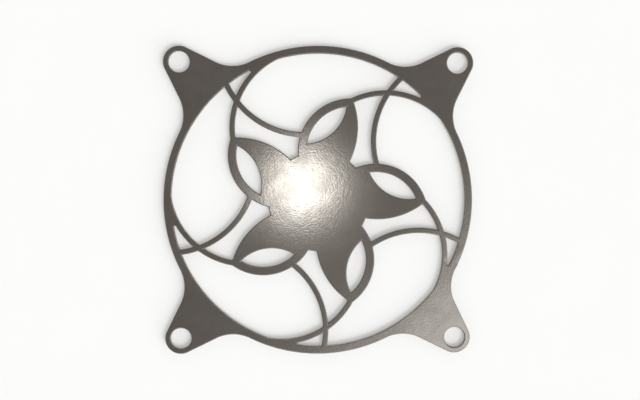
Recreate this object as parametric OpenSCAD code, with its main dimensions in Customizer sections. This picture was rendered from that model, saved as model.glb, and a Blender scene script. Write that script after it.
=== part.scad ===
// Decorative fan guard, cut in one piece from flat sheet: a slim round rim with four
// screw ears, and a pierced five-blade rotor that curved straps hang in the opening.
// Every edge of the outline is a straight line or a true arc.
// The origin is the middle of the back face, and the front face looks along +Z.

/* [Fan] */
// Distance between neighbouring screw holes, which the size of the fan sets
hole_pitch = 71.5; // [66:0.5:90]
// Diameter of each screw hole
hole_d = 5.4; // [3.4:0.1:6.4]

/* [Sheet] */
// Thickness of the sheet
sheet_t = 1.5; // [0.8:0.1:3]

/* [Rim] */
// Outer diameter of the round rim
rim_d = 80; // [74:0.5:90]
// Width of the rim's band
rim_w = 2; // [1.4:0.1:4]

/* [Ears] */
// Diameter of the rounded tip around each screw hole
ear_d = 8.2; // [7.5:0.1:11]
// Angle of each straight flank to the middle line of its ear
ear_flare = 19; // [12:1:26]
// Radius of the hollow curve between a flank and the rim
ear_fillet = 10; // [4:0.5:14]

/* [Rotor] */
// Number of blades
blade_count = 5; // [3:1:6]
// Direction of the first blade's root, counted from +X
first_blade = 90; // [0:1:90]
// Diameter of the solid hub
hub_d = 26; // [18:0.5:28]
// Distance of each blade's tip from the middle
blade_tip_r = 28; // [25:0.5:31]
// Angle by which a blade's tip trails behind its root
blade_sweep = 18; // [12:1:24]
// Bulge of the blade's leading edge, out from the line of root to tip
blade_bow = 9.5; // [8:0.25:10.5]
// Bulge of the blade's trailing edge
blade_belly = 5; // [4:0.1:6]
// Width of the web between the opening in a blade and the blade's leading edge and tip
blade_web = 2.2; // [1.5:0.1:3]
// Bulge of the trailing edge of that opening
window_belly = 2.4; // [1:0.1:3]

/* [Straps] */
// Width of the curved straps
strap_w = 1.4; // [1:0.1:2.5]
// Angle that a trailing strap covers on its way from the blade's tip to the rim
trail_turn = 41; // [33:1:46]
// Height of the trailing strap's arc above its chord
trail_bow = 4.6; // [3:0.1:6]
// Angle that a leading strap covers on its way from the blade's crest to the rim
lead_turn = 25; // [18:1:32]
// Height of the leading strap's arc above its chord
lead_bow = 3.6; // [2:0.1:5]
// Radius that ends the narrow gap where a trailing strap runs into the rim
gap_end_r = 0.35; // [0.2:0.05:0.6]

/* [Hidden] */
$fn = 128;

// Curves that run into each other cross by this much, where they would only just touch
blend = 0.02;
// Every blade starts from here, inside the hub
blade_root = [2, 0];

hub_r = hub_d / 2;
rim_r = rim_d / 2;
rim_mid_r = rim_r - rim_w / 2;
rim_inner_r = rim_r - rim_w;
ear_r = ear_d / 2;
ear_reach = hole_pitch / sqrt(2);

// A trailing strap starts half its width inside its blade's tip and ends within the rim
trail_start = polar(blade_tip_r - strap_w / 2, -blade_sweep);
trail_end = polar(rim_mid_r, -blade_sweep - trail_turn);

function polar(r, a) = [r * cos(a), r * sin(a)];

// An arc from p to q that bulges to the left by h: its left side, radius, centre and crest
function left_of(p, q) = [p.y - q.y, q.x - p.x] / norm(q - p);
function arc_radius(p, q, h) = (pow(norm(q - p), 2) / 4 + h * h) / (2 * h);
function arc_crest(p, q, h) = (p + q) / 2 + left_of(p, q) * h;
function arc_centre(p, q, h) = arc_crest(p, q, h - arc_radius(p, q, h));

// Where the circle of radius a round p meets the circle of radius b round q, left of p to q
function circles_meet(p, a, q, b) =
    let (gap = norm(q - p), along = (a * a - b * b + gap * gap) / (2 * gap))
    p + (q - p) / gap * along + left_of(p, q) * sqrt(a * a - along * along);

module at_each_blade() {
    for (k = [0:blade_count - 1]) rotate(first_blade + 360 / blade_count * k) children();
}

// The full disc inside an arc, shrunk by inset
module arc_disc(p, q, bulge, inset = 0) {
    translate(arc_centre(p, q, bulge)) circle(arc_radius(p, q, bulge) - inset);
}

// A strap of even width along the arc from p to q
module strap(p, q, bulge) {
    centre = arc_centre(p, q, bulge);
    r = arc_radius(p, q, bulge);
    // The two long sides of this wedge pass through the strap's ends
    reach = 2 * r / cos(asin(norm(q - p) / 2 / r));
    intersection() {
        translate(centre)
            difference() {
                circle(r + strap_w / 2);
                circle(r - strap_w / 2);
            }
        polygon([centre, centre + (p - centre) * reach / r, centre + (q - centre) * reach / r]);
    }
}

// One ear along +X: a round tip on a web whose hollow flanks flow into the rim
module ear() {
    outward = [sin(ear_flare), cos(ear_flare)];
    along = [cos(ear_flare), -sin(ear_flare)];
    tip = [ear_reach, 0] + outward * (ear_r - blend);
    // The fillet's circle crosses both the flank and the rim's outer edge by blend
    from_flank = ear_fillet - blend;
    from_middle = rim_r + ear_fillet - blend;
    fillet_height = tip * outward + from_flank;
    fillet_centre = outward * fillet_height
        + along * sqrt(pow(from_middle, 2) - pow(fillet_height, 2));
    shoulder = fillet_centre - outward * from_flank;
    root = fillet_centre * rim_mid_r / from_middle;
    upper = [tip, shoulder, fillet_centre, root];
    translate([ear_reach, 0]) circle(ear_r);
    difference() {
        polygon(concat(upper, [for (k = [3:-1:0]) [upper[k].x, -upper[k].y]]));
        for (side = [0, 1]) mirror([0, side])
            translate(fillet_centre) circle(ear_fillet);
    }
}

// Where a trailing strap closes in on the rim, this fills the tip of the gap up to a round end
module gap_end() {
    strap_centre = arc_centre(trail_start, trail_end, trail_bow);
    strap_r = arc_radius(trail_start, trail_end, trail_bow);
    outer_r = strap_r + strap_w / 2;
    // The round end's circle crosses both sides of the gap by blend
    from_side = gap_end_r - blend;
    centre = circles_meet([0, 0], rim_inner_r - from_side, strap_centre, outer_r + from_side);
    tip = circles_meet([0, 0], rim_inner_r, strap_centre, outer_r);
    behind_tip = tip + (tip - centre) / norm(tip - centre) * strap_w / 2;
    in_rim = centre / norm(centre) * rim_mid_r;
    in_strap = strap_centre + (centre - strap_centre) / norm(centre - strap_centre) * strap_r;
    difference() {
        polygon([centre, in_rim, behind_tip, in_strap]);
        translate(centre) circle(gap_end_r);
    }
}

module rim() {
    difference() {
        union() {
            circle(rim_r);
            for (quarter = [0:3]) rotate(45 + 90 * quarter) ear();
        }
        difference() {
            circle(rim_inner_r);
            at_each_blade() gap_end();
        }
        for (quarter = [0:3])
            rotate(45 + 90 * quarter) translate([ear_reach, 0]) circle(hole_d / 2);
    }
}

// One blade, its root at the middle, with the two straps that tie it to the rim
module blade() {
    tip = polar(blade_tip_r, -blade_sweep);
    // The opening is a leaf whose leading edge keeps an even web, from hub to tip
    lead_centre = arc_centre(blade_root, tip, blade_bow);
    lead_r = arc_radius(blade_root, tip, blade_bow) - blade_web;
    belly_centre = arc_centre(tip, blade_root, blade_belly);
    belly_r = arc_radius(tip, blade_root, blade_belly) - blade_web;
    window_start = circles_meet([0, 0], hub_r + blade_web, lead_centre, lead_r);
    window_end = circles_meet(belly_centre, belly_r, lead_centre, lead_r);
    difference() {
        intersection() {
            arc_disc(blade_root, tip, blade_bow);
            arc_disc(tip, blade_root, blade_belly);
        }
        intersection() {
            arc_disc(blade_root, tip, blade_bow, blade_web);
            arc_disc(window_end, window_start, window_belly);
        }
    }
    strap(trail_start, trail_end, trail_bow);
    // The leading strap starts half its width inside the blade's crest
    lead_start = arc_crest(blade_root, tip, blade_bow - strap_w / 2);
    lead_start_angle = atan2(lead_start.y, lead_start.x);
    strap(lead_start, polar(rim_mid_r, lead_start_angle + lead_turn), lead_bow);
}

module guard_plate() {
    color([0.62, 0.6, 0.57])
        linear_extrude(sheet_t)
            union() {
                rim();
                circle(hub_r);
                at_each_blade() blade();
            }
}

guard_plate();
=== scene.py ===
"""Looks for a flat fan guard cut from polished sheet steel: its finish and the studio around it."""

import math

import bpy
from bpy.props import FloatProperty, FloatVectorProperty, PointerProperty
from mathutils import Matrix, Vector


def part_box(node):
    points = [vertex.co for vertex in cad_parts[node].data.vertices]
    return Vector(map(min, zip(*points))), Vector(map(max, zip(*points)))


bl_info = {
    "name": "Fan guard",
    "version": (1, 0, 0),
    "blender": (4, 5, 0),
    "location": "View3D > Sidebar > Fan guard",
    "description": "Finishes a polished sheet steel fan guard and sets up its studio",
    "category": "Object",
}

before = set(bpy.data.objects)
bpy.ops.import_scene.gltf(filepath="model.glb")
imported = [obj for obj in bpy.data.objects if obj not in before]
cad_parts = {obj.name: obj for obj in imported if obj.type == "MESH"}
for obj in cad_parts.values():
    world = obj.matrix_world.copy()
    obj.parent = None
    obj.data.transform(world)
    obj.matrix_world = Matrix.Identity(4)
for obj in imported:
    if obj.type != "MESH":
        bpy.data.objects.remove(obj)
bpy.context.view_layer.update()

PLATE_NODE = "guard_plate"
PLATE_LOW, PLATE_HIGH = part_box(PLATE_NODE)
FRONT_Z = PLATE_HIGH.z
FLOOR_Z = PLATE_LOW.z

# Meeting points closer than this are one point, and faces flatter than this are one face
WELD_DISTANCE = 1e-6
FLAT_ANGLE = math.radians(0.5)

# Only edges sharper than this are rounded, in this many steps
SHARP_ANGLE = math.radians(35)
EDGE_STEPS = 3

# How level the surface is, from 1 on a face to 0 on a wall, where each zone starts and is full
EDGE_ZONE = (0.998, 0.9)
WALL_ZONE = (0.5, 0.15)

# The grey values of the noise between which clouds and haze show
CLOUD_CONTRAST = (0.38, 0.62)
HAZE_CONTRAST = (0.35, 0.7)

# Size of the haze's blotches as a share of the clouds', and how far each tarnishes the metal
HAZE_SCALE = 0.3
CLOUD_TARNISH = 0.3
HAZE_TARNISH = 0.5

# How far the haze moves the polish's roughness, and what a rounded edge adds to it
SMOOTHER = 0.01
ROUGHER = 0.02
EDGE_ROUGHNESS = 0.2

# Width of the lines in a cut wall, and how much they are drawn out upright
CUT_LINE = 0.00008
CUT_STRETCH = (1.0, 1.0, 0.06)

# The floor lies just under the plate, and its mottle darkens it by a few hundredths
FLOOR_SIZE = 6.0
FLOOR_GAP = 0.00002
MOTTLE_SIZE = 0.02
MOTTLE_SHADE = 0.97

# Way to the window side, and how far toward it the tall bright screen starts and is full
WINDOW_WAY = (0.7071, -0.7071, 0.0)
SCREEN_START = (0.20, 0.235)

# How far toward the window side the walls turn from the far side's light to the window's
WALL_TURN = (-0.5, 0.3)

# Upward part of a direction where the walls start to show under the ceiling and are full
WALL_TOP = (0.85, 0.45)

# The camera's place over the plate, from the plate's middle, and the point it looks at
CAMERA_OVER = (-0.00896, 0.01885)
CAMERA_AIM = (0.00035, 0.00038)
SENSOR_WIDTH = 36.0


class FanGuardFinish(bpy.types.PropertyGroup):
    """The plate's broken edges and its metal"""

    edge_break: FloatProperty(
        name="Edge break",
        description="Width of the rounding that polishing leaves along every edge",
        default=0.00025, min=0.00002, max=0.0003, precision=5, unit="LENGTH",
    )
    metal_color: FloatVectorProperty(
        name="Metal",
        description="Colour that the polished faces reflect",
        default=(0.61, 0.575, 0.53), size=3, min=0.0, max=1.0, subtype="COLOR",
    )
    tarnish_color: FloatVectorProperty(
        name="Tarnish",
        description="Colour of the faint clouds on the polished faces",
        default=(0.46, 0.425, 0.38), size=3, min=0.0, max=1.0, subtype="COLOR",
    )
    # Painted shade: a dark outline along every rounded edge, much darker than the polished faces
    painted_edge_shade: FloatVectorProperty(
        name="Edge",
        description="Colour of the rounded edges, which polishing leaves duller than the faces",
        default=(0.15, 0.14, 0.125), size=3, min=0.0, max=1.0, subtype="COLOR",
    )
    cut_color: FloatVectorProperty(
        name="Cut wall",
        description="Colour of the walls that the cutting left",
        default=(0.52, 0.49, 0.44), size=3, min=0.0, max=1.0, subtype="COLOR",
    )
    polish_roughness: FloatProperty(
        name="Polish",
        description="Roughness of the polished faces",
        default=0.14, min=0.05, max=0.6, subtype="FACTOR",
    )
    grain_size: FloatProperty(
        name="Grain",
        description="Size of the fine grain in the polished faces",
        default=0.00045, min=0.0001, max=0.002, precision=5, unit="LENGTH",
    )
    grain_height: FloatProperty(
        name="Grain height",
        description="Height of the fine grain and of the lines in the cut walls",
        default=0.0000095, min=0.0, max=0.0001, precision=6, unit="LENGTH",
    )
    cloud_size: FloatProperty(
        name="Clouds",
        description="Size of the faint clouds on the polished faces",
        default=0.014, min=0.002, max=0.05, precision=4, unit="LENGTH",
    )


class FanGuardStage(bpy.types.PropertyGroup):
    """The floor, the surroundings and the camera"""

    floor_color: FloatVectorProperty(
        name="Floor",
        description="Colour of the pale floor",
        default=(0.96, 0.96, 0.955), size=3, min=0.0, max=1.0, subtype="COLOR",
    )
    floor_glow: FloatProperty(
        name="Floor glow",
        description="Share of the floor's paleness that no shadow takes away",
        default=0.30, min=0.0, max=1.0, subtype="FACTOR",
    )
    ceiling_color: FloatVectorProperty(
        name="Ceiling",
        description="Light of the dim ceiling that the front face mirrors",
        default=(0.170, 0.162, 0.155), size=3, min=0.0, max=1.0, subtype="COLOR",
    )
    window_color: FloatVectorProperty(
        name="Window side",
        description="Light of the pale wall at the right and the front",
        default=(0.95, 0.95, 0.95), size=3, min=0.0, max=1.0, subtype="COLOR",
    )
    wall_color: FloatVectorProperty(
        name="Far side",
        description="Light of the pale wall at the left and the back",
        default=(0.82, 0.82, 0.82), size=3, min=0.0, max=1.0, subtype="COLOR",
    )
    camera_height: FloatProperty(
        name="Camera height",
        description="Height of the camera above the front face",
        default=0.2588, min=0.1, max=1.0, unit="LENGTH",
    )
    camera_lens: FloatProperty(
        name="Lens",
        description="Focal length of the camera",
        default=56.42, min=20.0, max=200.0, unit="CAMERA",
    )


def settings():
    """The finish and stage settings of the scene."""
    scene = bpy.context.scene
    return scene.fan_guard_finish, scene.fan_guard_stage


# Node helpers


def fill_inputs(node, values):
    """Sets a node's inputs by name, where spaces in a name are written as underscores."""
    for name, value in values.items():
        node.inputs[name.replace("_", " ")].default_value = value


def add_node(tree, kind, **inputs):
    """Adds a node with the given values on its inputs."""
    node = tree.nodes.new(kind)
    fill_inputs(node, inputs)
    return node


def feed(tree, value, socket):
    """Links a socket to an input, or sets a plain value on it."""
    if isinstance(value, bpy.types.NodeSocket):
        tree.links.new(value, socket)
    else:
        socket.default_value = value


def math_node(tree, operation, first, second=0.0):
    """A Math node over sockets or numbers; returns its output."""
    node = tree.nodes.new("ShaderNodeMath")
    node.operation = operation
    feed(tree, first, node.inputs[0])
    feed(tree, second, node.inputs[1])
    return node.outputs[0]


def vector_math(tree, operation, first, second):
    """A Vector Math node over a socket and a fixed vector; returns the node."""
    node = tree.nodes.new("ShaderNodeVectorMath")
    node.operation = operation
    tree.links.new(first, node.inputs[0])
    node.inputs[1].default_value = second
    return node


def upward(tree, direction):
    """The Z part of a direction."""
    split = tree.nodes.new("ShaderNodeSeparateXYZ")
    tree.links.new(direction, split.inputs[0])
    return split.outputs["Z"]


def map_range(tree, value, span, result=(0.0, 1.0), smooth=False):
    """Maps a value from one span to another, with a soft start and end if smooth."""
    node = add_node(tree, "ShaderNodeMapRange", From_Min=span[0], From_Max=span[1],
                    To_Min=result[0], To_Max=result[1])
    if smooth:
        node.interpolation_type = "SMOOTHSTEP"
    tree.links.new(value, node.inputs["Value"])
    return node.outputs["Result"]


def mix_color(tree, factor, first, second):
    """Mixes two colours, each a socket or a list of four numbers; returns the result."""
    node = tree.nodes.new("ShaderNodeMix")
    node.data_type = "RGBA"
    tree.links.new(factor, node.inputs["Factor"])
    for name, value in (("A", first), ("B", second)):
        feed(tree, value, next(s for s in node.inputs if s.name == name and s.type == "RGBA"))
    return next(s for s in node.outputs if s.type == "RGBA")


def noise(tree, coordinates, cell, detail, roughness):
    """Noise whose blotches are about one cell across, where the cell is a number or a socket."""
    node = add_node(tree, "ShaderNodeTexNoise", Detail=detail, Roughness=roughness)
    tree.links.new(coordinates, node.inputs["Vector"])
    tree.links.new(math_node(tree, "DIVIDE", 1.0, cell), node.inputs["Scale"])
    return node.outputs[0]


def rgba(color):
    """A colour property with its alpha."""
    return (*color, 1.0)


def build_group(name, sizes, outputs):
    """An empty shader group over coordinates and named sizes; returns tree, entry and exit."""
    tree = bpy.data.node_groups.new(name, "ShaderNodeTree")
    tree.interface.new_socket(name="Vector", in_out="INPUT", socket_type="NodeSocketVector")
    for size in sizes:
        tree.interface.new_socket(name=size, in_out="INPUT", socket_type="NodeSocketFloat")
    for output in outputs:
        tree.interface.new_socket(name=output, in_out="OUTPUT", socket_type="NodeSocketFloat")
    return tree, tree.nodes.new("NodeGroupInput"), tree.nodes.new("NodeGroupOutput")


def place_group(tree, group, coordinates, **sizes):
    """Places a group in a material with its own sizes; returns its outputs."""
    node = tree.nodes.new("ShaderNodeGroup")
    node.node_tree = group
    tree.links.new(coordinates, node.inputs["Vector"])
    fill_inputs(node, sizes)
    return node.outputs


# The plate


def grain_group():
    """Fine grain and broad clouds of a polished face: a height and two masks."""
    tree, entry, leave = build_group(
        "Polish grain", ("Grain Size", "Cloud Size"), ("Height", "Clouds", "Haze"))
    place = entry.outputs["Vector"]
    cloud_cell = entry.outputs["Cloud Size"]
    haze_cell = math_node(tree, "MULTIPLY", cloud_cell, HAZE_SCALE)
    grain = noise(tree, place, entry.outputs["Grain Size"], detail=3.0, roughness=0.55)
    clouds = noise(tree, place, cloud_cell, detail=4.0, roughness=0.55)
    haze = noise(tree, place, haze_cell, detail=5.0, roughness=0.55)
    tree.links.new(grain, leave.inputs["Height"])
    tree.links.new(map_range(tree, clouds, CLOUD_CONTRAST), leave.inputs["Clouds"])
    tree.links.new(map_range(tree, haze, HAZE_CONTRAST), leave.inputs["Haze"])
    return tree


def cut_group():
    """Fine upright lines that a beam leaves in a cut wall."""
    tree, entry, leave = build_group("Cut lines", ("Line Width",), ("Height",))
    drawn_out = vector_math(tree, "MULTIPLY", entry.outputs["Vector"], CUT_STRETCH)
    lines = noise(tree, drawn_out.outputs["Vector"], entry.outputs["Line Width"],
                  detail=2.0, roughness=0.6)
    tree.links.new(lines, leave.inputs["Height"])
    return tree


def polished_steel(finish):
    """Polished sheet on the faces, with faint clouds and grain, a painted shade that darkens the
    rounded edges, and a duller cut wall.
    """
    material = bpy.data.materials.new("polished_steel_finish")
    material.use_nodes = True
    tree = material.node_tree
    shader = tree.nodes["Principled BSDF"]
    shader.inputs["Metallic"].default_value = 1.0
    place = tree.nodes.new("ShaderNodeTexCoord")
    grain = place_group(tree, grain_group(), place.outputs["Object"],
                        Grain_Size=finish.grain_size, Cloud_Size=finish.cloud_size)
    cut = place_group(tree, cut_group(), place.outputs["Object"], Line_Width=CUT_LINE)

    # The surface is level on the faces, tilted on the rounded edges and upright on the walls
    level = math_node(tree, "ABSOLUTE", upward(tree, place.outputs["Normal"]))
    edge = map_range(tree, level, EDGE_ZONE)
    wall = map_range(tree, level, WALL_ZONE)

    clouds = math_node(tree, "MULTIPLY", grain["Clouds"], CLOUD_TARNISH)
    haze = math_node(tree, "MULTIPLY", grain["Haze"], HAZE_TARNISH)
    face_color = mix_color(tree, math_node(tree, "ADD", clouds, haze),
                           rgba(finish.metal_color), rgba(finish.tarnish_color))
    # The rounded edges get a painted shade, a dark outline much darker than the faces; the extra
    # roughness there is separate
    face_with_painted_edge_shade = mix_color(tree, edge, face_color, rgba(finish.painted_edge_shade))
    color = mix_color(tree, wall, face_with_painted_edge_shade, rgba(finish.cut_color))
    tree.links.new(color, shader.inputs["Base Color"])

    polish = finish.polish_roughness
    face_rough = map_range(tree, grain["Haze"], (0.0, 1.0), (polish - SMOOTHER, polish + ROUGHER))
    edge_rough = math_node(tree, "MULTIPLY", edge, EDGE_ROUGHNESS)
    tree.links.new(math_node(tree, "ADD", face_rough, edge_rough), shader.inputs["Roughness"])

    face = math_node(tree, "SUBTRACT", 1.0, wall)
    face_height = math_node(tree, "MULTIPLY", grain["Height"], face)
    wall_height = math_node(tree, "MULTIPLY", cut["Height"], wall)
    bump = add_node(tree, "ShaderNodeBump", Strength=1.0, Distance=finish.grain_height)
    tree.links.new(math_node(tree, "ADD", face_height, wall_height), bump.inputs["Height"])
    tree.links.new(bump.outputs["Normal"], shader.inputs["Normal"])
    return material


def round_edges(plate, edge_break):
    """Joins the loose triangles into clean faces and rounds every sharp edge between them."""
    weld = plate.modifiers.new("join_walls", "WELD")
    weld.merge_threshold = WELD_DISTANCE
    flatten = plate.modifiers.new("clean_faces", "DECIMATE")
    flatten.decimate_type = "DISSOLVE"
    flatten.angle_limit = FLAT_ANGLE
    edges = plate.modifiers.new("edge_break", "BEVEL")
    edges.width = edge_break
    edges.segments = EDGE_STEPS
    edges.limit_method = "ANGLE"
    edges.angle_limit = SHARP_ANGLE
    edges.use_clamp_overlap = False
    edges.loop_slide = False
    smooth = plate.modifiers.new("even_shading", "WEIGHTED_NORMAL")
    smooth.weight = 100


class FANGUARD_OT_plate(bpy.types.Operator):
    """Breaks the plate's edges and gives it its polished steel"""

    bl_idname = "fanguard.plate"
    bl_label = "Finish the plate"

    def execute(self, context):
        finish, _ = settings()
        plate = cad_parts[PLATE_NODE]
        plate.data.materials[0] = polished_steel(finish)
        round_edges(plate, finish.edge_break)
        return {"FINISHED"}


# The stage


def pale_floor(color, glow):
    """Matt pale card with a hardly visible mottle, whose shadows stay light."""
    material = bpy.data.materials.new("floor_card")
    material.use_nodes = True
    tree = material.node_tree
    shader = tree.nodes["Principled BSDF"]
    shader.inputs["Roughness"].default_value = 0.9
    shader.inputs["Specular IOR Level"].default_value = 0.2
    place = tree.nodes.new("ShaderNodeTexCoord")
    mottle = noise(tree, place.outputs["Object"], MOTTLE_SIZE, detail=3.0, roughness=0.5)
    lit = [channel * (1.0 - glow) for channel in color]
    darker = [channel * MOTTLE_SHADE for channel in lit]
    tree.links.new(mix_color(tree, mottle, rgba(lit), rgba(darker)), shader.inputs["Base Color"])
    shader.inputs["Emission Color"].default_value = rgba(color)

    # The glow shows to the camera and in the metal, and lights nothing else
    ray = tree.nodes.new("ShaderNodeLightPath")
    seen = math_node(tree, "ADD", ray.outputs["Is Camera Ray"], ray.outputs["Is Glossy Ray"])
    tree.links.new(math_node(tree, "MULTIPLY", seen, glow), shader.inputs["Emission Strength"])
    return material


def lay_floor(stage):
    """The pale floor that the plate lies on."""
    bpy.ops.mesh.primitive_plane_add(size=FLOOR_SIZE, location=(0.0, 0.0, FLOOR_Z - FLOOR_GAP))
    floor = bpy.context.object
    floor.name = "floor"
    floor.data.materials.append(pale_floor(stage.floor_color, stage.floor_glow))


def place_lamp(data, place):
    """Puts a lamp at a place, turned to the middle of the front face."""
    lamp = bpy.data.objects.new(data.name, data)
    lamp.location = place
    lamp.rotation_mode = "QUATERNION"
    way = Vector((0.0, 0.0, FRONT_Z)) - Vector(place)
    lamp.rotation_quaternion = way.to_track_quat("-Z", "Y")
    bpy.context.scene.collection.objects.link(lamp)
    return lamp


def add_sun(name, spread, strength, place):
    """A broad and even light over the whole floor, which the metal doesn't mirror."""
    data = bpy.data.lights.new(name, "SUN")
    data.angle = math.radians(spread)
    data.energy = strength
    place_lamp(data, place).visible_glossy = False


def add_glow():
    """A small round lamp high over the plate, which the middle of the plate mirrors."""
    data = bpy.data.lights.new("glow", "AREA")
    data.shape = "DISK"
    data.size = 0.0345
    data.energy = 0.0102
    place_lamp(data, (0.0006, -0.013, 0.30))


def add_lamps():
    """The main light, a low one that draws the shadows out, and the one the plate mirrors."""
    add_sun("key", spread=28, strength=1.14, place=(0.50, -0.55, 1.02))
    add_sun("window", spread=40, strength=1.1, place=(0.75, -0.60, 0.35))
    add_glow()


def studio_world(stage):
    """Pale walls that fade into a dim ceiling, brighter and higher at the right and the front."""
    world = bpy.data.worlds.new("studio")
    world.use_nodes = True
    tree = world.node_tree
    direction = tree.nodes.new("ShaderNodeTexCoord").outputs["Generated"]
    toward_window = vector_math(tree, "DOT_PRODUCT", direction, WINDOW_WAY).outputs["Value"]
    walls = mix_color(tree, map_range(tree, toward_window, WALL_TURN),
                      rgba(stage.wall_color), rgba(stage.window_color))
    low = map_range(tree, upward(tree, direction), WALL_TOP, smooth=True)
    screen = map_range(tree, toward_window, SCREEN_START, smooth=True)
    surroundings = mix_color(tree, math_node(tree, "MAXIMUM", low, screen),
                             rgba(stage.ceiling_color), walls)
    tree.links.new(surroundings, tree.nodes["Background"].inputs["Color"])
    return world


def add_camera(stage):
    """A camera almost straight above the plate, a little behind and to the left of its middle."""
    data = bpy.data.cameras.new("camera")
    data.lens = stage.camera_lens
    data.sensor_width = SENSOR_WIDTH
    camera = bpy.data.objects.new("camera", data)
    place = Vector((*CAMERA_OVER, FRONT_Z + stage.camera_height))
    back = (place - Vector((*CAMERA_AIM, FRONT_Z))).normalized()
    side = Vector((1.0, 0.0, 0.0))
    side = (side - back * side.dot(back)).normalized()
    turn = Matrix((side, back.cross(side), back)).transposed()
    camera.matrix_world = Matrix.Translation(place) @ turn.to_4x4()
    bpy.context.scene.collection.objects.link(camera)
    bpy.context.scene.camera = camera


class FANGUARD_OT_stage(bpy.types.Operator):
    """Lays the floor and sets the lamps, the surroundings and the camera"""

    bl_idname = "fanguard.stage"
    bl_label = "Set the stage"

    def execute(self, context):
        _, stage = settings()
        lay_floor(stage)
        add_lamps()
        add_camera(stage)
        context.scene.world = studio_world(stage)
        context.scene.view_settings.view_transform = "Standard"
        return {"FINISHED"}


class FANGUARD_PT_panel(bpy.types.Panel):
    """Fan guard controls"""

    bl_idname = "FANGUARD_PT_panel"
    bl_label = "Fan guard"
    bl_space_type = "VIEW_3D"
    bl_region_type = "UI"
    bl_category = "Fan guard"

    def draw(self, context):
        finish, stage = settings()
        for group, operator in ((finish, FANGUARD_OT_plate), (stage, FANGUARD_OT_stage)):
            box = self.layout.box()
            for name in group.__annotations__:
                box.prop(group, name)
            box.operator(operator.bl_idname)


CLASSES = (
    FanGuardFinish,
    FanGuardStage,
    FANGUARD_OT_plate,
    FANGUARD_OT_stage,
    FANGUARD_PT_panel,
)


def register():
    for cls in CLASSES:
        bpy.utils.register_class(cls)
    bpy.types.Scene.fan_guard_finish = PointerProperty(type=FanGuardFinish)
    bpy.types.Scene.fan_guard_stage = PointerProperty(type=FanGuardStage)


def unregister():
    del bpy.types.Scene.fan_guard_stage
    del bpy.types.Scene.fan_guard_finish
    for cls in reversed(CLASSES):
        bpy.utils.unregister_class(cls)


def main():
    register()
    bpy.ops.fanguard.plate()
    bpy.ops.fanguard.stage()


if __name__ == "__main__":
    main()
